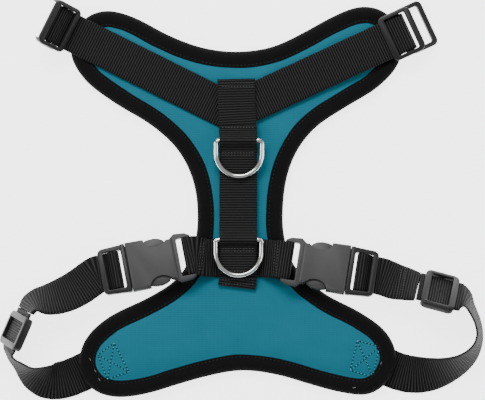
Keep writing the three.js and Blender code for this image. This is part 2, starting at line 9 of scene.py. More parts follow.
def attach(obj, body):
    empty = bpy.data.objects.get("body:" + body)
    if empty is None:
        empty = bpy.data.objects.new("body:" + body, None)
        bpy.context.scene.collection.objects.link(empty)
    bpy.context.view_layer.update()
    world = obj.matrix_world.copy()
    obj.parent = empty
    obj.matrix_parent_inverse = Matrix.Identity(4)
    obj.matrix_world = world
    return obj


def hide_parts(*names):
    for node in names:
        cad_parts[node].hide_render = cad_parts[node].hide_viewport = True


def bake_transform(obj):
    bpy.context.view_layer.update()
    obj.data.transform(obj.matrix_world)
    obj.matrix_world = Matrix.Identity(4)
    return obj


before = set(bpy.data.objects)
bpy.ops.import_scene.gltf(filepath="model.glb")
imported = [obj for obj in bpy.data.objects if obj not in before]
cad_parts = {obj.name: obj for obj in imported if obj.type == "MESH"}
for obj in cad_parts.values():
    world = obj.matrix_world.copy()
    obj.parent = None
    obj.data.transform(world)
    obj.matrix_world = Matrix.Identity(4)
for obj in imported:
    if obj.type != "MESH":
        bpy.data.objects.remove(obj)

# Lengths in this script are millimetres in the harness's own layout, and become metres in to_row().
MM = 0.001
SHIFT = np.array([0.748, 0.163, 0.0])  # from the layout's origin to the frame's

WEBBING = 25.4  # webbing width
WEB_T = 1.3  # webbing thickness
LAYER = 1.6  # from one layer of webbing to the next
RIB = 1.7  # pitch of the webbing's ribs
FIRST_Z = 8.95  # heights of the middles of the first three layers on the panel
SECOND_Z = FIRST_Z + LAYER
THIRD_Z = SECOND_Z + LAYER
SPINE_X = -3.2


# ---- small helpers ------------------------------------------------------------------------
def to_row(points):
    return (np.asarray(points, float).reshape(-1, 3) + SHIFT) * MM


def row_point(x, y, z):
    return tuple(to_row([[x, y, z]])[0])


def turned(angle):
    return np.array([math.cos(math.radians(angle)), math.sin(math.radians(angle)), 0.0])


def unit(v):
    return v / np.linalg.norm(v, axis=-1, keepdims=True)


def wave_sum(t, seed, terms=5, lowest=1.0):
    """A smooth random line of about unit height, from a few sines over t."""
    rng = np.random.default_rng(seed)
    total = np.zeros_like(t)
    for k in range(terms):
        rate = lowest * (1.0 + 1.7 * k) * rng.uniform(0.8, 1.2)
        total = total + math.pow(0.72, k) * np.sin(rate * t + rng.uniform(0, 6.28))
    return total / 2.2


def new_object(name, points, faces, material, uv=None, smooth=True):
    """A mesh object from points in layout millimetres. uv is one pair in metres for each point."""
    data = bpy.data.meshes.new(name)
    data.from_pydata([tuple(p) for p in to_row(points)], [], [tuple(f) for f in faces])
    data.validate()
    if uv is not None:
        layer = data.uv_layers.new(name="cloth")
        pairs = np.asarray(uv, np.float32)
        index = np.zeros(len(data.loops), np.int32)
        data.loops.foreach_get("vertex_index", index)
        layer.data.foreach_set("uv", pairs[index].ravel())
    data.polygons.foreach_set("use_smooth", [smooth] * len(data.polygons))
    data.materials.append(material)
    obj = bpy.data.objects.new(name, data)
    bpy.context.scene.collection.objects.link(obj)
    return obj


def place(obj, body, slot, *nodes):
    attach(obj, body)
    if nodes:
        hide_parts(*nodes)
    return obj


def grid_faces(rings, sides, closed=False, caps=True):
    """Faces that join rings of points numbered one ring after another."""
    faces = []
    last = rings if closed else rings - 1
    for i in range(last):
        a, b = i * sides, ((i + 1) % rings) * sides
        for j in range(sides):
            k = (j + 1) % sides
            faces.append((a + j, a + k, b + k, b + j))
    if caps and not closed:
        faces.append(tuple(range(sides))[::-1])
        faces.append(tuple((rings - 1) * sides + j for j in range(sides)))
    return faces


def spline(rows, step):
    """A centripetal curve through the rows, in equal steps of its first three columns' length."""
    rows = np.asarray(rows, float)
    ends = [2 * rows[0] - rows[1], *rows, 2 * rows[-1] - rows[-2]]
    fine = []
    for p0, p1, p2, p3 in zip(ends, ends[1:], ends[2:], ends[3:]):
        t = [0.0]
        for a, b in ((p0, p1), (p1, p2), (p2, p3)):
            t.append(t[-1] + max(np.linalg.norm((b - a)[:3]), 1e-6) ** 0.5)
        u = np.linspace(t[1], t[2], 24, endpoint=False)[:, None]
        a1 = (t[1] - u) / (t[1] - t[0]) * p0 + (u - t[0]) / (t[1] - t[0]) * p1
        a2 = (t[2] - u) / (t[2] - t[1]) * p1 + (u - t[1]) / (t[2] - t[1]) * p2
        a3 = (t[3] - u) / (t[3] - t[2]) * p2 + (u - t[2]) / (t[3] - t[2]) * p3
        b1 = (t[2] - u) / (t[2] - t[0]) * a1 + (u - t[0]) / (t[2] - t[0]) * a2
        b2 = (t[3] - u) / (t[3] - t[1]) * a2 + (u - t[1]) / (t[3] - t[1]) * a3
        fine.append((t[2] - u) / (t[2] - t[1]) * b1 + (u - t[1]) / (t[2] - t[1]) * b2)
    fine = np.vstack([*fine, rows[-1:]])
    return resample(fine, step)


def resample(fine, step):
    length = np.concatenate([[0], np.cumsum(np.linalg.norm(np.diff(fine[:, :3], axis=0), axis=1))])
    count = max(int(round(length[-1] / step)), 2) + 1
    at = np.linspace(0, length[-1], count)
    return np.column_stack([np.interp(at, length, fine[:, c]) for c in range(fine.shape[1])])


# ---- materials ----------------------------------------------------------------------------
class Look:
    """A procedural material: a Principled shader and short ways to wire nodes into it."""

    def __init__(self, name, color, roughness, metallic=0.0, specular=0.5, sheen=0.0):
        self.material = bpy.data.materials.new(name)
        self.material.use_nodes = True
        self.material.diffuse_color = (*color, 1)
        self.tree = self.material.node_tree
        self.shader = self.tree.nodes["Principled BSDF"]
        self.shader.inputs["Base Color"].default_value = (*color, 1)
        self.shader.inputs["Roughness"].default_value = roughness
        self.shader.inputs["Metallic"].default_value = metallic
        self.shader.inputs["Specular IOR Level"].default_value = specular
        self.shader.inputs["Sheen Weight"].default_value = sheen
        self.shader.inputs["Sheen Roughness"].default_value = 0.4

    def node(self, kind, inputs=None, **settings):
        made = self.tree.nodes.new(kind)
        for key, value in settings.items():
            setattr(made, key, value)
        for key, value in (inputs or {}).items():
            if isinstance(value, bpy.types.NodeSocket):
                self.tree.links.new(value, made.inputs[key])
            else:
                made.inputs[key].default_value = value
        return made

    def math(self, operation, a, b=0.0):
        made = self.node("ShaderNodeMath", {0: a, 1: b}, operation=operation)
        return made.outputs[0]

    def uv(self):
        mapped = self.node("ShaderNodeUVMap", uv_map="cloth")
        split = self.node("ShaderNodeSeparateXYZ", {0: mapped.outputs[0]})
        return split.outputs[0], split.outputs[1]

    def sine(self, coordinate, pitch, shift=0.0):
        """A sine from 0 to 1 with the given pitch in metres."""
        turns = {0: coordinate, 1: 2 * math.pi / pitch, 2: shift}
        made = self.node("ShaderNodeMath", turns, operation="MULTIPLY_ADD")
        made = self.node("ShaderNodeMath", {0: made.outputs[0]}, operation="SINE")
        raised = {0: made.outputs[0], 1: 0.5, 2: 0.5}
        return self.node("ShaderNodeMath", raised, operation="MULTIPLY_ADD").outputs[0]

    def noise(self, scale, detail=2.0, roughness=0.5, vector=None):
        if vector is None:
            vector = self.node("ShaderNodeTexCoord").outputs["Object"]
        return self.node(
            "ShaderNodeTexNoise", {"Vector": vector, "Scale": scale, "Detail": detail, "Roughness": roughness}
        ).outputs["Fac"]

    def mix(self, fac, dark, light):
        made = self.node("ShaderNodeMix", data_type="RGBA")
        for index, value in ((0, fac), (6, dark), (7, light)):
            if isinstance(value, bpy.types.NodeSocket):
                self.tree.links.new(value, made.inputs[index])
            else:
                made.inputs[index].default_value = (*value, 1) if isinstance(value, tuple) else value
        return made.outputs[2]

    def color(self, socket):
        self.tree.links.new(socket, self.shader.inputs["Base Color"])

    def roughness(self, socket, low, high):
        made = self.node("ShaderNodeMapRange", {0: socket, 3: low, 4: high})
        self.tree.links.new(made.outputs[0], self.shader.inputs["Roughness"])

    def bump(self, height, distance, strength=1.0):
        made = self.node("ShaderNodeBump", {"Height": height, "Distance": distance, "Strength": strength})
        self.tree.links.new(made.outputs[0], self.shader.inputs["Normal"])


def teal_mesh():
    look = Look("teal_air_mesh", (0.012, 0.2, 0.3), 0.85, specular=0.25, sheen=0.15)
    u, v = look.uv()
    columns = look.sine(u, 0.0009)
    rows = look.sine(v, 0.0012)
    cells = look.math("MULTIPLY", columns, rows)
    patches = look.noise(60, 3)
    shade = look.math("ADD", look.math("MULTIPLY", cells, 0.55), look.math("MULTIPLY", patches, 0.45))
    look.color(look.mix(shade, (0.007, 0.15, 0.225), (0.014, 0.235, 0.325)))
    look.bump(look.math("ADD", cells, look.math("MULTIPLY", look.noise(900, 2), 0.3)), 0.00012, 0.7)
    return look.material


def binding_tape():
    look = Look("binding_knit", (0.012, 0.012, 0.013), 0.9, specular=0.12, sheen=0.03)
    u, v = look.uv()
    loops = look.math("MULTIPLY", look.sine(u, 0.0011), look.sine(v, 0.00075))
    speckle = look.noise(1400, 2, 0.7)
    shade = look.math("MULTIPLY", look.math("ADD", loops, speckle), 0.5)
    look.color(look.mix(shade, (0.0022, 0.0022, 0.0024), (0.0145, 0.014, 0.0145)))
    look.bump(look.math("ADD", loops, speckle), 0.00016, 0.8)
    return look.material


def webbing():
    look = Look("ribbed_webbing", (0.02, 0.02, 0.021), 0.62, specular=0.14)
    u, v = look.uv()
    rib = look.sine(u, RIB * MM, -math.pi / 2)
    half = look.math("ROUND", look.math("MULTIPLY", u, 1 / (RIB * MM)))
    slant = look.math("ADD", look.math("MULTIPLY", u, 0.35), look.math("MULTIPLY", half, 0.00021))
    yarn = look.sine(look.math("ADD", v, slant), 0.00062)
    speckle = look.noise(700, 2, 0.6)
    raised = look.math("MULTIPLY", rib, look.math("MULTIPLY_ADD", yarn, 0.4))
    # The ribs' crests are painted lighter and the grooves between them darker: painted highlight and painted
    # shade over the yarn's flecks.
    rib_crest_painted_light = look.math("POWER", rib, 2.6)
    fleck = look.math("MULTIPLY", look.math("ADD", yarn, speckle), 0.5)
    shade = look.math("MULTIPLY", rib_crest_painted_light, look.math("ADD", look.math("MULTIPLY", fleck, 0.7), 0.55))
    look.color(look.mix(shade, (0.0014, 0.0014, 0.0015), (0.045, 0.045, 0.0465)))
    look.roughness(speckle, 0.5, 0.75)
    look.bump(look.math("ADD", yarn, look.math("ADD", speckle, raised)), 0.00008, 0.8)
    return look.material


def moulded(name, color, roughness=0.48):
    look = Look(name, color, roughness, specular=0.4)
    grain = look.noise(2600, 2, 0.5)
    broad = look.noise(90, 3)
    light = tuple(min(1.0, c * 1.18) for c in color)
    dark = tuple(c * 0.86 for c in color)
    look.color(look.mix(broad, dark, light))
    look.roughness(broad, roughness - 0.06, roughness + 0.08)
    look.bump(grain, 0.00005, 0.5)
    return look.material


def nickel():
    look = Look("polished_nickel", (0.86, 0.85, 0.84), 0.1, metallic=1.0)
    look.roughness(look.noise(220, 3), 0.07, 0.17)
    look.bump(look.noise(500, 2), 0.00001, 0.3)
    return look.material


def cloth(name, dark, light, scale=1500):
    look = Look(name, light, 0.9, specular=0.2)
    look.color(look.mix(look.noise(scale, 2, 0.6), dark, light))
    look.bump(look.noise(scale, 2, 0.6), 0.0001, 0.6)
    return look.material


def thread(name, dark, light):
    look = Look(name, light, 0.55, specular=0.4)
    look.color(look.mix(look.noise(2500, 2, 0.6), dark, light))
    return look.material


TEAL = teal_mesh()
TAPE = binding_tape()
WEB = webbing()
SOCKET_PLASTIC = moulded("grey_moulded_plastic", (0.056, 0.056, 0.057), 0.52)
DARK_PLASTIC = moulded("dark_moulded_plastic", (0.012, 0.012, 0.0125), 0.42)
PAD_PLASTIC = moulded("latch_plastic", (0.05, 0.05, 0.051), 0.42)
NICKEL = nickel()
LINING = cloth("lining_cloth", (0.008, 0.008, 0.009), (0.02, 0.02, 0.022))
BLACK_THREAD = thread("black_thread", (0.006, 0.006, 0.006), (0.03, 0.03, 0.031))
# Black thread coloured grey: the lighter colour is painted sheen.
SHEEN_PAINTED_THREAD = thread("black_thread_painted_sheen", (0.03, 0.03, 0.03), (0.13, 0.13, 0.13))
TEAL_THREAD = thread("teal_thread", (0.03, 0.34, 0.45), (0.1, 0.5, 0.6))
# Near-black teal for short threads sunk at the stitches' ends: painted shade in the needle holes' dimples.
NEEDLE_HOLE_PAINTED_SHADE = thread("needle_hole_shade", (0.001, 0.005, 0.009), (0.002, 0.012, 0.02))
PALE_THREAD = thread("pale_thread", (0.25, 0.22, 0.22), (0.5, 0.46, 0.46))


# ---- chest panel --------------------------------------------------------------------------
def panel_outline(count=760):
    """The panel's edge line, read from the CAD face sheet and smoothed, 1 mm outside it."""
    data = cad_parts["panel_face"].data
    top = max(v.co.z for v in data.vertices)
    key = [(round(v.co.x * 1e6), round(v.co.y * 1e6)) for v in data.vertices]
    links = {}
    for face in data.polygons:
        if abs(face.normal.z) > 0.5:
            continue
        high = sorted({key[i] for i in face.vertices if data.vertices[i].co.z > top - 1e-6})
        if len(high) == 2:
            links.setdefault(high[0], set()).add(high[1])
            links.setdefault(high[1], set()).add(high[0])
    start = min(links)
    loop, before = [start], None
    while True:
        following = [p for p in sorted(links[loop[-1]]) if p != before]
        if not following or following[0] == start:
            break
        before = loop[-1]
        loop.append(following[0])
        if len(loop) > len(links):
            break
    line = np.array(loop, float) / 1000 - SHIFT[:2]
    closed = np.vstack([line, line[:1]])
    line = resample(np.column_stack([closed, np.zeros(len(closed))]), 1.0)[:-1, :2]
    for _ in range(24):
        line = 0.25 * np.roll(line, 1, 0) + 0.5 * line + 0.25 * np.roll(line, -1, 0)
    closed = np.vstack([line, line[:1]])
    total = np.linalg.norm(np.diff(closed, axis=0), axis=1).sum()
    line = resample(np.column_stack([closed, np.zeros(len(closed))]), total / count)[:-1, :2]
    x, y = line.T
    if np.sum(x * np.roll(y, -1) - np.roll(x, -1) * y) < 0:
        line = line[::-1]
    return line - inward(line) * 1.0


def inward(line):
    """Unit directions into the shape of a counterclockwise loop."""
    run = unit(np.roll(line, -1, 0) - np.roll(line, 1, 0))
    return np.column_stack([-run[:, 1], run[:, 0]])


EDGE = panel_outline()
INWARD = inward(EDGE)
EDGE_STEP = np.linalg.norm(np.roll(EDGE, -1, 0) - EDGE, axis=1)
EDGE_S = np.concatenate([[0], np.cumsum(EDGE_STEP)[:-1]])
EDGE_LENGTH = EDGE_STEP.sum()


def edge_distance(points):
    """How far each point lies inside the panel's edge."""
    best = np.full(len(points), 1e9)
    for low in range(0, len(EDGE), 95):
        gap = points[:, None, :] - EDGE[None, low : low + 95, :]
        best = np.minimum(best, np.sqrt((gap**2).sum(-1)).min(1))
    return best


def face_height(points, d):
    """Top of the padded face: held down at the binding's seam and fuller away from it."""
    x, y = points[:, 0], points[:, 1]
    rise = 1 - np.exp(-np.clip(d - 10.2, 0, None) / 6.0)
    full = np.exp(-(((y + 98) / 26) ** 2)) * np.clip(np.abs(x) / 40, 0, 1)
    neck = np.exp(-(((y - 104) / 14) ** 2)) * 0.3
    ripple = wave_sum(x * 0.11 + y * 0.05, 3, 4) + wave_sum(y * 0.13 - x * 0.04, 4, 4)
    return 6.75 + rise * (1.2 + 1.3 * full + 0.25 * neck) + 0.1 * ripple * rise * (0.3 + full)


def panel_cushion():
    """The face cloth over its foam, as one closed padded body. Its sides end inside the binding."""
    inset = 5.0
    rim = EDGE + INWARD * inset
    low, high = rim.min(0), rim.max(0)
    step = 2.3
    rng = np.random.default_rng(7)
    gx, gy = np.meshgrid(np.arange(low[0], high[0], step), np.arange(low[1], high[1], step))
    grid = np.column_stack([gx.ravel(), gy.ravel()])
    grid = grid + rng.uniform(-0.25, 0.25, grid.shape)
    x, y = grid.T
    inside = np.zeros(len(grid), bool)
    px, py = rim.T
    qx, qy = np.roll(px, -1), np.roll(py, -1)
    for ax, ay, bx, by in zip(px, py, qx, qy):
        cross = ((ay > y) != (by > y)) & (x < (bx - ax) * (y - ay) / (by - ay + 1e-12) + ax)
        inside ^= cross
    grid = grid[inside]
    grid = grid[edge_distance(grid) > inset + 1.2]
    rim = rim[::2]
    points = [Vector(p) for p in np.vstack([rim, grid])]
    count = len(rim)
    border = [(i, (i + 1) % count) for i in range(count)]
    flat, _, triangles, *_ = geometry.delaunay_2d_cdt(points, border, [], 1, 1e-5)
    flat = np.array([tuple(p) for p in flat])
    top_z = face_height(flat, edge_distance(flat))
    n = len(flat)
    bottom = np.full(n, 2.75)
    verts = np.vstack([np.column_stack([flat, top_z]), np.column_stack([flat, bottom])])
    faces = [tuple(t) for t in triangles] + [tuple(n + i for i in reversed(t)) for t in triangles]
    faces += [(b, a, n + a, n + b) for a, b in border]
    uv = np.vstack([flat, flat]) * MM
    cushion = new_object("panel_cushion", verts, faces, TEAL, uv)
    place(cushion, "chest_panel", "face_mesh", "panel_face", "panel_foam")
    under = np.vstack([np.column_stack([flat, np.full(n, 2.35)]), np.column_stack([flat, np.full(n, 1.75)])])
    lining = new_object("panel_lining_cloth", under, faces, LINING, uv)
    place(lining, "chest_panel", "lining", "panel_lining")


# The binding's seam: how far inside the edge it runs, and its stitches' pitch.
SEAM_INSET = 9.4
SEAM_PITCH = 2.6

# The folded tape's outline, as (inward from the edge, height).
TAPE_SECTION = [
    (11.2, 6.95), (10.9, 7.3), (10.2, 7.36), (9.2, 7.3), (8.2, 7.5), (7.0, 7.8), (5.6, 8.02), (4.2, 8.0),
    (2.9, 7.75), (1.8, 7.25), (0.9, 6.5), (0.3, 5.6), (0.0, 4.7), (0.25, 3.8), (0.9, 2.9), (1.9, 2.15),
    (3.2, 1.75), (5.2, 1.62), (8.0, 1.6), (10.4, 1.62), (11.1, 1.72), (11.2, 1.95), (10.4, 2.2), (7.0, 2.25),
    (4.2, 2.5), (2.2, 3.2), (1.3, 4.7), (2.1, 5.9), (4.2, 6.7), (7.0, 6.75), (9.2, 6.55), (10.8, 6.6),
]


def edge_binding():
    """Knitted tape folded over the panel's edge and pulled in a little at each stitch."""
    section = np.array(TAPE_SECTION)
    sides = len(section)
    t = EDGE_S / EDGE_LENGTH * 2 * math.pi
    roll = wave_sum(t * 9, 21, 6)
    wide = wave_sum(t * 7, 22, 6)
    stitch = np.abs(np.sin(math.pi * EDGE_S / SEAM_PITCH))
    rings = []
    for i in range(len(EDGE)):
        d = section[:, 0].copy()
        z = section[:, 1].copy()
        seam = np.exp(-(((d - SEAM_INSET) / 1.3) ** 2)) * (z > 6.9)
        z -= seam * 0.22 * (1 - stitch[i])
        d += np.clip(d / 11, 0, 1) ** 3 * 0.3 * wide[i]
        z += np.exp(-(((d - 5) / 3) ** 2)) * (z > 5) * 0.14 * roll[i]
        spot = EDGE[i] + INWARD[i] * d[:, None]
        rings.append(np.column_stack([spot, z]))
    points = np.vstack(rings)
    around = np.concatenate([[0], np.cumsum(np.linalg.norm(np.diff(section, axis=0), axis=1))])
    uv = np.array([(s * MM, a * MM) for s in EDGE_S for a in around])
    faces = grid_faces(len(EDGE), sides, closed=True)
    tape = new_object("edge_binding_tape", points, faces, TAPE, uv)
    place(tape, "chest_panel", "binding", "edge_binding")


# ---- stitching ----------------------------------------------------------------------------
def stitch_row(line, pitch, length, thick=0.42, shift=0.0):
    """Short thread stitches along a line of [x, y, z], as (points, faces)."""
    line = resample(np.asarray(line, float), 0.2)
    along = unit(np.gradient(line, axis=0))
    gap = max(int(round(pitch / 0.2)), 2)
    reach = max(int(round(length / 0.4)), 1)
    points, faces = [], []
    for middle in range(reach + int(round(shift / 0.2)), len(line) - reach, gap):
        run = along[middle]
        side = unit(np.cross([0, 0, 1], run))
        up = np.cross(run, side)
        a, b = line[middle - reach], line[middle + reach]
        base = len(points)
        for where, size, lift in ((0, 0.35, -0.12), (0.2, 1, 0.08), (0.8, 1, 0.08), (1, 0.35, -0.12)):
            centre = a + (b - a) * where + up * lift
            for k in range(6):
                turn = math.radians(60 * k)
                points.append(centre + size * thick / 2 * (side * math.cos(turn) + up * math.sin(turn)))
        faces += [tuple(base + i for i in f) for f in grid_faces(4, 6)]
    return points, faces


def stitches(name, rows, body, slot, material=None, thick=0.42, shift=0.0):
    points, faces = [], []
    for line, pitch, length in rows:
        p, f = stitch_row(line, pitch, length, thick, shift)
        faces += [tuple(len(points) + i for i in face) for face in f]
        points += p
    made = new_object(name, points, faces, material or BLACK_THREAD)
    return place(made, body, slot)


def binding_stitches():
    ring = EDGE + INWARD * SEAM_INSET
    line = np.column_stack([ring, np.full(len(ring), 7.22)])
    rows = [(np.vstack([line, line[:1]]), SEAM_PITCH, 1.7)]
    stitches("binding_seam_stitches", rows, "chest_panel", "binding", thick=0.4)


# ---- webbing ------------------------------------------------------------------------------
def strap_section(half_points=11):
    """The webbing's outline: (across, up) in half widths and half thicknesses."""
    v = np.linspace(-1, 1, half_points)
    v = np.sign(v) * np.abs(v) ** 0.85 * 0.965
    top = [(x, 1.0) for x in v[::-1]]
    return [(1.0, 0.45), *top, (-1.0, 0.45), (-1.0, -0.45), *[(-x, -1.0) for x, _ in top], (1.0, -0.45)]


SECTION = np.array(strap_section())


def ribbon(stations, width=WEBBING, thick=WEB_T, seed=1, start=0.0, sway=0.12):
    """Ribbed webbing along stations of [x, y, z, across x, y, z]. Gives (points, faces, uv, length)."""
    at, across = stations[:, :3], stations[:, 3:6]
    along = unit(np.gradient(at, axis=0))
    side = unit(across - (across * along).sum(1, keepdims=True) * along)
    up = np.cross(along, side)
    s = np.concatenate([[0], np.cumsum(np.linalg.norm(np.diff(at, axis=0), axis=1))]) + start
    rib = np.abs(np.sin(math.pi * s / RIB))
    edge = wave_sum(s * 0.25, seed, 5) * sway
    points = []
    for v, h in SECTION:
        outer = v * (width / 2 - 0.12) + np.sign(v) * (abs(v) > 0.9) * (0.13 * rib) + edge * abs(v)
        lift = h * (thick / 2 - 0.1) + np.sign(h) * (abs(h) > 0.9) * 0.15 * rib
        points.append(at + side * outer[:, None] + up * lift[:, None])
    points = np.stack(points, 1)
    sides = len(SECTION)
    uv = np.zeros((len(at), sides, 2))
    uv[:, :, 0] = s[:, None] * MM
    uv[:, :, 1] = SECTION[None, :, 0] * width / 2 * MM
    faces = grid_faces(len(at), sides)
    return points.reshape(-1, 3), faces, uv.reshape(-1, 2), s[-1]


def strap(name, stations, seed=1, start=0.0, material=None, **options):
    points, faces, uv, _ = ribbon(stations, seed=seed, start=start, **options)
    return new_object(name, points, faces, material or WEB, uv)


def along_y(points, across=(1, 0, 0)):
    return spline([[*p, *across] for p in points], RIB / 5)


RINGS = {"upper": (-2.7, 40.0, 14.75, 0), "lower": (-3.1, -26.6, 13.2, 5)}


def spine():
    """Two layers of webbing down the back, with a tunnel for each D-ring."""
    bottom = SECOND_Z + 0.05
    lower = along_y([
        (SPINE_X - 1.4, 81.3, THIRD_Z), (SPINE_X - 1.1, 70, THIRD_Z), (SPINE_X - 0.8, 60, THIRD_Z),
        (SPINE_X - 0.3, 50, THIRD_Z), (SPINE_X, 42, THIRD_Z), (SPINE_X, 36, THIRD_Z - 0.5),
        (SPINE_X, 27, THIRD_Z - 1.7), (SPINE_X, 15, FIRST_Z + 0.7), (SPINE_X, 2, FIRST_Z + 0.4),
        (SPINE_X, -10, FIRST_Z + 0.6), (SPINE_X, -20, bottom - 0.3), (SPINE_X, -26, bottom),
        (SPINE_X, -40, bottom), (SPINE_X, -51, bottom), (SPINE_X - 1, -58.7, bottom - 0.6),
    ])
    place(strap("spine_strap", lower, seed=31), "back_webbing", "webbing", "spine_webbing")
    over = 1.65 + 0.3 + WEB_T / 2 + 0.1
    path = [(SPINE_X, 50, THIRD_Z + LAYER), (SPINE_X, 45.6, THIRD_Z + LAYER + 0.1)]
    for name, after in (("upper", True), ("lower", False)):
        _, y, z, _ = RINGS[name]
        shoulder = z + over * 0.62
        hump = [(SPINE_X, y + 2.3, shoulder), (SPINE_X, y, z + over), (SPINE_X, y - 2.3, shoulder)]
        if not after:
            path += [(SPINE_X, y + 5.4, SECOND_Z + LAYER + 0.1)]
        path += hump
        if after:
            path += [
                (SPINE_X, y - 5.4, THIRD_Z + LAYER), (SPINE_X, 27, THIRD_Z + LAYER - 1.5),
                (SPINE_X, 15, FIRST_Z + LAYER + 0.8), (SPINE_X, 2, FIRST_Z + LAYER + 0.4),
                (SPINE_X, -10, FIRST_Z + LAYER + 0.7),
            ]
    path += [(SPINE_X, -31.8, SECOND_Z + LAYER + 0.05), (SPINE_X, -50, SECOND_Z + LAYER + 0.05)]
    upper = strap("spine_cover_strap", along_y(path), seed=32)
    place(upper, "back_webbing", "webbing", "spine_overlay")


NECKS = {
    "left": dict(foot=(-4, 57.2), heading=153.5, slider=133.7, slider_z=19.6, pitch=42, z=FIRST_Z),
    "right": dict(foot=(-4, 60.7), heading=24.8, slider=121.6, slider_z=11, pitch=0, z=SECOND_Z),
}
NECK_BAR = (2.8, -5.5, 1.6)


def neck_world(neck, s, z):
    run = turned(neck["heading"])
    return [neck["foot"][0] + run[0] * s, neck["foot"][1] + run[1] * s, z]


def neck_local(neck, x, z):
    c, s = math.cos(math.radians(neck["pitch"])), math.sin(math.radians(neck["pitch"]))
    return neck_world(neck, neck["slider"] + x * c - z * s, neck["slider_z"] + x * s + z * c)


def neck_straps():
    """Each neck strap, and the tab that it meets at its turn round the rectangular ring's inner bar."""
    for side, neck in NECKS.items():
        run = turned(neck["heading"])
        across = [-run[1], run[0], 0]
        pitched = neck["pitch"] > 0
        z = neck["z"]
        if pitched:
            flat = [(-9, z), (10, z), (40, z), (70, z), (100, z - 0.1), (114, z), (119.5, z + 0.5)]
            lead = -14.0
            sewn = [(100, 0.65), (112, 0.65), (121, 0.65), (123.8, 0.8)]
            sewn += [(127, 2.85), (131, 6.4), (136, 10.85)]
            angles = (-90, -60, -30, 0)
        else:
            flat = [(-9, z), (10, z), (30, z - 0.3), (60, z - 0.3), (72, z), (84, z + 0.3)]
            lead, sewn = -20.0, [(98, 0.65), (110, 0.65), (118, 0.65), (122.2, 0.75)]
            angles = (-45, -20, 0)
        rows = [neck_world(neck, s, h) for s, h in flat]
        rows += [neck_local(neck, x, h) for x, h in
                 ((lead, 0), (-6, 0), (-1.5, 0.05), (1.6, -0.1), (3.6, -0.7), (4.95, -1.85), (5.5, -3.3))]
        turn = 1.6 + 0.3 + WEB_T / 2
        tab = [neck_world(neck, s, h) for s, h in sewn]
        for angle in angles:
            way = turned(angle)
            tab.append(neck_local(neck, NECK_BAR[0] + turn * way[0], NECK_BAR[1] + turn * way[1]))
        tab.append(neck_local(neck, 5.5, -3.3))
        path = spline([[*p, *across] for p in rows], RIB / 5)
        s_end = (len(path) - 1) * RIB / 5
        place(strap(side + "_neck_webbing", path, seed=40 + len(side)), "back_webbing", "webbing",
              side + "_neck_strap")
        back = spline([[*p, *across] for p in tab], RIB / 5)
        piece = strap(side + "_tab_webbing", back, seed=50 + len(side), start=s_end)
        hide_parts(side + "_wing_tab")
        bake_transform(piece)


# ---- buckles' frames ----------------------------------------------------------------------
BUCKLES = {"left": ((-76.5, -45.5), 191.0), "right": ((70.2, -47.2), -9.0)}
BAR_WRAP = 1.3 + 0.3 + WEB_T / 2
SOCKET_BAR_X = -39.6
PLUG_BAR_X = 7.2


def buckle_frame(side):
    (x, y), heading = BUCKLES[side]
    roll = 12 if heading > 90 else -12
    turn = Matrix.Rotation(math.radians(heading), 4, "Z") @ Matrix.Rotation(math.radians(roll), 4, "X")
    return Matrix.Translation((x, y, 14.0)) @ turn


def in_buckle(side, points, sign=1):
    m = buckle_frame(side)
    across = list(m.to_3x3() @ Vector((0, sign, 0)))
    return [[*(m @ Vector((x, 0, z))), *across] for x, z in points]


def bar_turn(x, sign):
    half = [(x - 0.5 * sign, BAR_WRAP + 0.1), (x + 0.9 * sign, BAR_WRAP - 0.45)]
    return [*half, (x + 1.35 * sign, 0), *[(px, -z) for px, z in reversed(half)]]


def waist():
    """Across the waist and folded back round the web bar of each socket."""
    fold = [(-45.6, -BAR_WRAP), *reversed(bar_turn(SOCKET_BAR_X, 1)), (-45.6, BAR_WRAP)]

    def tipped(x, y, z, roll):
        return [x, y, z, 0, math.cos(math.radians(roll)), -math.sin(math.radians(roll))]

    rows = [tipped(-25.6, -38.6, 10.7, 5), *in_buckle("left", fold, -1)]
    rows += [
        tipped(-26, -38.6, 12.6, 7), tipped(-21.5, -38.9, 10.4, 3), tipped(-17.5, -39.1, FIRST_Z, 0),
        tipped(-8, -39.1, FIRST_Z, 0), tipped(2, -39.1, FIRST_Z, 0),
        tipped(11, -39.1, FIRST_Z, 0), tipped(15, -39.3, 10.4, 3), tipped(19.5, -39.6, 12.6, 7),
    ]
    rows += [*in_buckle("right", list(reversed(fold))), tipped(19.1, -39.6, 10.7, 5)]
    place(strap("waist_webbing", spline(rows, RIB / 5), seed=61), "back_webbing", "webbing", "waist_strap")


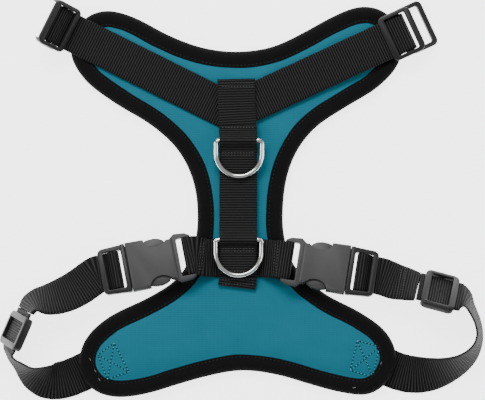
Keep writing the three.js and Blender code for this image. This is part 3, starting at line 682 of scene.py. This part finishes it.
# ---- girth straps -------------------------------------------------------------------------
STRETCH = 14.7
GIRTHS = {
    "left": dict(
        inner=-1, lead=12.3, slider=(-152.2, -87.8, 15.9), heading=66.5, roll=66,
        bend=[
            (-78, -100.9, 0.65, 0), (-90, -107, 0.65, 0), (-102, -113.2, 0.65, 0), (-112.5, -118.2, 0.65, 0),
            (-119.5, -120.9, 0.75, 0), (-125, -121.9, 1.9, 5), (-130, -122, 4.4, 17),
            (-135.5, -120.8, 7.5, 32),
            (-141, -118.6, 9.9, 47), (-145.8, -115.6, 11.6, 62), (-150.2, -111.5, 12.8, 72),
            (-154.3, -107.6, 13.8, 78),
            (-156.9, -103.7, 14.8, 80), (-157.6, -101.4, 15.4, 75),
        ],
        run=[
            (-142.9, -69.6, 15.4, 60), (-137.6, -67.4, 14.6, 51), (-130, -66.2, 13.8, 38),
            (-121.5, -63.8, 13.1, 25),
            (-113, -60, 12.7, 16), (-106, -55.4, 12.5, 12), (-101.6, -52.2, 12.4, 12),
        ],
        split=(-131, -122.8), a=((-104, -115), (-129, -124)), b=((-133, -121), (-153, -103)),
    ),
    "right": dict(
        inner=1, lead=14.7, slider=(132, -61.6, 13.9), heading=165, roll=45,
        bend=[
            (72, -99.5, 0.65, 0), (84, -106, 0.65, 0), (96, -112, 0.65, 0), (106, -116, 0.65, 0),
            (113.5, -117.6, 1.9, 5), (121, -117.6, 4.3, 16), (130, -116.2, 7.5, 32), (139, -113.6, 9.8, 46),
            (147, -109.6, 11.2, 57), (153.4, -104, 12.1, 66), (157.6, -97, 12.7, 74),
            (158.9, -89.5, 13.1, 78),
            (157.4, -81.5, 13.4, 78), (155.2, -76.2, 13.6, 77), (152.95, -71.6, 13.8, 75),
            (151.6, -68.95, 13.9, 71),
            (150.15, -67.3, 13.9, 63), (148.3, -66.1, 13.9, 54),
        ],
        run=[(109, -55.9, 13.3, 33), (101.5, -54.2, 12.8, 22), (95.4, -52, 12.4, 14)],
        split=(127, -117), a=((100, -114), (124, -118)), b=((130, -116), (157, -88)),
    ),
}
PLUG_TOP = [(22.5, -1.7), (17.6, -1.45), (14.8, -1.05), (12, 1), (10.4, BAR_WRAP)]
PLUG_UNDER = [(10.4, -BAR_WRAP - 0.1), (14.8, -3), (17.6, -3.05), (22.5, -3.3)]


def rolled(points, inner):
    """Stations from [x, y, z, roll], where roll lifts the inner edge."""
    points = np.asarray(points, float)
    along = np.zeros((len(points), 3))
    along[1:-1] = points[2:, :3] - points[:-2, :3]
    along[0], along[-1] = points[1, :3] - points[0, :3], points[-1, :3] - points[-2, :3]
    along = unit(along)
    inside = unit(np.column_stack([-along[:, 1], along[:, 0], np.zeros(len(along))])) * inner
    roll = np.radians(points[:, 3:4])
    across = inside * np.cos(roll) + np.array([0, 0, 1]) * np.sin(roll)
    return np.column_stack([points[:, :3], across])


def along_slider(girth, distances):
    run = turned(girth["heading"])
    return [(*(np.array(girth["slider"]) + run * d), girth["roll"]) for d in distances]


def offset_layer(stations, amount):
    along = unit(np.gradient(stations[:, :3], axis=0))
    up = unit(np.cross(along, stations[:, 3:6]))
    return np.column_stack([stations[:, :3] + up * amount, stations[:, 3:6]])


def girth_straps():
    for side, girth in GIRTHS.items():
        inner = girth["inner"]
        list_all = [*girth["bend"], *along_slider(girth, [-girth["lead"], -8, 0, 8, STRETCH])]
        path = spline(rolled(list_all, inner), RIB / 5)
        cut = int(np.argmin(np.linalg.norm(path[:, :2] - np.array(girth["split"]), axis=1)))
        s_cut = cut * RIB / 5
        first = strap(side + "_girth_webbing_low", path[: cut + 1], seed=71)
        second = strap(side + "_girth_webbing_high", path[cut:], seed=71, start=s_cut)
        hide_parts(side + "_girth_strap")
        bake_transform(first)
        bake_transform(second)

        top_rows = [*along_slider(girth, [STRETCH + 0.4]), *girth["run"]]
        top = rolled(top_rows, inner)
        under = offset_layer(top, -LAYER * inner)[::-1]
        wrap = in_buckle(side, [*PLUG_TOP, *bar_turn(PLUG_BAR_X, -1), *PLUG_UNDER], -inner)
        rows = np.vstack([top, wrap, under])
        loop = strap(side + "_girth_loop_webbing", spline(rows, RIB / 5), seed=73)
        place(loop, side + "_plug", "webbing", side + "_girth_loop")


# ---- sewn rows ----------------------------------------------------------------------------
def draped(obj, start, end, lift=0.05):
    """Points along a straight line in plan, each laid on top of obj."""
    line = []
    for t in np.linspace(0, 1, 60):
        x, y = np.array(start) + (np.array(end) - np.array(start)) * t
        hit, where, *_ = obj.ray_cast(Vector(row_point(x, y, 60)), Vector((0, 0, -1)))
        if hit:
            line.append([x, y, where.z / MM + lift])
    smooth = np.array(line)
    for _ in range(6):
        smooth[1:-1, 2] = (smooth[:-2, 2] + 2 * smooth[1:-1, 2] + smooth[2:, 2]) / 4
    return smooth


def webbing_seams():
    """Lock-stitched rows where straps are sewn to each other."""
    strap_obj = bpy.data.objects["spine_strap"]
    cover = bpy.data.objects["spine_cover_strap"]
    across = [(strap_obj, 78.6), (strap_obj, 76.2), (cover, 48.6), (cover, 31.9), (cover, 30.2)]
    across += [(cover, -32.6), (cover, -34.4), (cover, -48.2), (strap_obj, -53.4), (strap_obj, -56.6)]
    rows = [(draped(o, (SPINE_X - 11, y), (SPINE_X + 11, y)), 2.1, 1.4) for o, y in across]
    stitches("spine_seam_stitches", rows, "back_webbing", "webbing", SHEEN_PAINTED_THREAD, 0.4)
    band = bpy.data.objects["waist_webbing"]
    upright = [(-28.6, -48.9, -28.1), (-26.8, -49.1, -28), (21.2, -50.8, -29.4), (23, -51.1, -29.7)]
    rows = [(draped(band, (x - 1, low), (x + 0.6, high)), 2.1, 1.4) for x, low, high in upright]
    stitches("waist_seam_stitches", rows, "back_webbing", "webbing", SHEEN_PAINTED_THREAD, 0.4)
    loop = bpy.data.objects["right_girth_loop_webbing"]
    rows = [(draped(loop, (x, -65), (x + 3.6, -45.5)), 1.9, 1.3) for x in (103, 106)]
    stitches("girth_bar_tacks", rows, "right_plug", "webbing", SHEEN_PAINTED_THREAD, 0.4)


def anchor_boxes():
    """The box and cross sewn through the panel over the end of each girth strap."""
    cushion = bpy.data.objects["panel_cushion"]
    corners = {
        "left": ((-86.6, -96.2), (-76.8, -115.6), (-91.2, -120.8), (-97.6, -104.2)),
        "right": ((76.8, -94.6), (72.2, -114.6), (87.2, -119), (92, -98.8)),
    }
    for side, (a, b, c, d) in corners.items():
        runs = ((a, b), (b, c), (c, d), (d, a), (a, c), (b, d))
        rows = [(draped(cushion, p, q, 0.06), 2.5, 1.3) for p, q in runs]
        stitches(side + "_anchor_stitches", rows, "chest_panel", "face_mesh", TEAL_THREAD, 0.56)
        # Short dark threads set a little lower at each stitch's ends: painted shade in the dimples of the
        # needle holes.
        rows = [(draped(cushion, p, q, 0.0), 2.5, 0.8) for p, q in runs]
        stitches(side + "_anchor_needle_hole_painted_shade", rows, "chest_panel", "face_mesh", NEEDLE_HOLE_PAINTED_SHADE, 0.95, 1.25)


def loose_threads():
    """A few pale thread ends that show at the binding of both lower wings."""
    tape = bpy.data.objects["edge_binding_tape"]
    rows = []
    ends = (
        ((-103.3, -106.2), (-101.6, -109.9)), ((-99.9, -114.1), (-97.9, -117.9)),
        ((-97.2, -119.8), (-95.5, -123.2)), ((73.6, -126.6), (76, -126)), ((92.6, -111), (94, -106.6)),
    )
    for start, end in ends:
        rows.append((draped(tape, start, end, 0.06), 9, 2.6))
    stitches("loose_thread_ends", rows, "chest_panel", "binding", PALE_THREAD, 0.34)


# ---- hardware -----------------------------------------------------------------------------
def d_rings():
    half, depth, corner, wire = 15.35, 24.0, 2.4, 1.65
    side = depth - half
    path = [(x, 0.0) for x in np.linspace(-half + corner, half - corner, 14)]
    flat = half - corner
    for a in np.linspace(0.2, 1.57, 6):
        path.append((flat + corner * math.sin(a), -corner + corner * math.cos(a)))
    path += [(half, -corner - (side - corner) * t) for t in (0.33, 0.66)]
    path += [(half * math.cos(a), -side - half * math.sin(a)) for a in np.linspace(0, math.pi, 44)]
    path += [(-half, -corner - (side - corner) * t) for t in (0.66, 0.33)]
    for a in np.linspace(1.57, 0.2, 6):
        path.append((-flat - corner * math.sin(a), -corner + corner * math.cos(a)))
    line = np.array(path)
    run = unit(np.roll(line, -1, 0) - np.roll(line, 1, 0))
    out = np.column_stack([run[:, 1], -run[:, 0]])
    sides = 20
    for name, (x, y, z, tip) in RINGS.items():
        turn = Matrix.Rotation(-math.radians(tip), 3, "X")
        points = []
        for (px, py), (ox, oy) in zip(line, out):
            for k in range(sides):
                a = 2 * math.pi * k / sides
                p = Vector((px + ox * wire * math.cos(a), py + oy * wire * math.cos(a), wire * math.sin(a)))
                points.append(tuple(turn @ p + Vector((x, y, z))))
        faces = [f[::-1] for f in grid_faces(len(line), sides, closed=True)]
        made = new_object(name + "_d_ring_wire", points, faces, NICKEL)
        place(made, name + "_ring", "nickel", name + "_d_ring")


def hard(node, name, body, material, bevel=0.4, segments=3):
    """The CAD node's shape with its flat faces joined and every sharp edge rounded."""
    bm = bmesh.new()
    bm.from_mesh(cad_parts[node].data)
    bmesh.ops.remove_doubles(bm, verts=bm.verts, dist=4e-6)
    bmesh.ops.dissolve_limit(bm, angle_limit=math.radians(1.5), verts=bm.verts, edges=bm.edges)
    data = bpy.data.meshes.new(name)
    bm.to_mesh(data)
    bm.free()
    data.materials.clear()
    data.materials.append(material)
    obj = bpy.data.objects.new(name, data)
    bpy.context.scene.collection.objects.link(obj)
    rounding = obj.modifiers.new("rounding", "BEVEL")
    rounding.width = bevel * MM
    rounding.segments = segments
    rounding.limit_method = "ANGLE"
    rounding.angle_limit = math.radians(32)
    rounding.harden_normals = False
    bpy.context.view_layer.update()
    final = bpy.data.meshes.new_from_object(obj.evaluated_get(bpy.context.evaluated_depsgraph_get()))
    obj.modifiers.clear()
    obj.data = final
    for polygon in final.polygons:
        polygon.use_smooth = True
    final.set_sharp_from_angle(angle=math.radians(40))
    return place(obj, body, "plastic", node)


def hardware():
    for side in ("left", "right"):
        hard(side + "_buckle_socket", side + "_socket", "back_webbing", SOCKET_PLASTIC, 0.35)
        hard(side + "_buckle_plug", side + "_plug_frame", side + "_plug", DARK_PLASTIC, 0.35)
        for end in ("rear", "front"):
            hard(f"{side}_{end}_prong", f"{side}_{end}_latch_arm", f"{side}_{end}_latch", PAD_PLASTIC, 0.3)
        adjuster = side + "_neck_adjuster"
        hard(side + "_neck_slider", adjuster + "_frame", adjuster, DARK_PLASTIC, 0.45)
        hard(side + "_neck_ring", side + "_neck_link_frame", side + "_neck_link", DARK_PLASTIC, 0.45)
        adjuster = side + "_girth_adjuster"
        hard(side + "_girth_slider", adjuster + "_frame", adjuster, DARK_PLASTIC, 0.45)


# ---- stage --------------------------------------------------------------------------------
def stage():
    look = Look("pale_floor", (0.93, 0.93, 0.93), 0.9, specular=0.1)
    look.color(look.mix(look.noise(3, 2), (0.92, 0.92, 0.92), (0.94, 0.94, 0.94)))
    look.shader.inputs["Emission Color"].default_value = (1, 1, 1, 1)
    look.shader.inputs["Emission Strength"].default_value = 3.2
    data = bpy.data.meshes.new("floor")
    data.from_pydata([(-3, -3, 0), (3, -3, 0), (3, 3, 0), (-3, 3, 0)], [], [(0, 1, 2, 3)])
    data.materials.append(look.material)
    floor = bpy.data.objects.new("floor", data)
    bpy.context.scene.collection.objects.link(floor)
    floor.location.z = -0.0003

    world = bpy.data.worlds.new("studio")
    world.use_nodes = True
    world.node_tree.nodes["Background"].inputs[0].default_value = (1, 1, 1, 1)
    world.node_tree.nodes["Background"].inputs[1].default_value = 0.34
    bpy.context.scene.world = world

    def lamp(name, where, size, power):
        light = bpy.data.lights.new(name, "AREA")
        light.shape = "RECTANGLE"
        light.size, light.size_y = size
        light.energy = power
        obj = bpy.data.objects.new(name, light)
        obj.location = where
        obj.rotation_mode = "QUATERNION"
        obj.rotation_quaternion = (-Vector(where)).to_track_quat("-Z", "Y")
        bpy.context.scene.collection.objects.link(obj)

    lamp("key", (-0.25, 0.9, 1.15), (0.9, 0.5), 15)
    lamp("left_fill", (-1.1, 0.1, 0.8), (0.5, 0.9), 4)
    lamp("right_fill", (1.1, -0.1, 0.8), (0.5, 0.9), 4)

    camera = bpy.data.cameras.new("camera")
    camera.sensor_width = 36
    distance = 2.4
    camera.lens = 36 * distance / 0.3274
    camera.clip_start, camera.clip_end = 0.1, 20
    holder = bpy.data.objects.new("camera", camera)
    holder.location = (0.00042, 0.00016, distance)
    bpy.context.scene.collection.objects.link(holder)
    bpy.context.scene.camera = holder


panel_cushion()
edge_binding()
binding_stitches()
spine()
neck_straps()
waist()
girth_straps()
webbing_seams()
anchor_boxes()
loose_threads()
d_rings()
hardware()
stage()
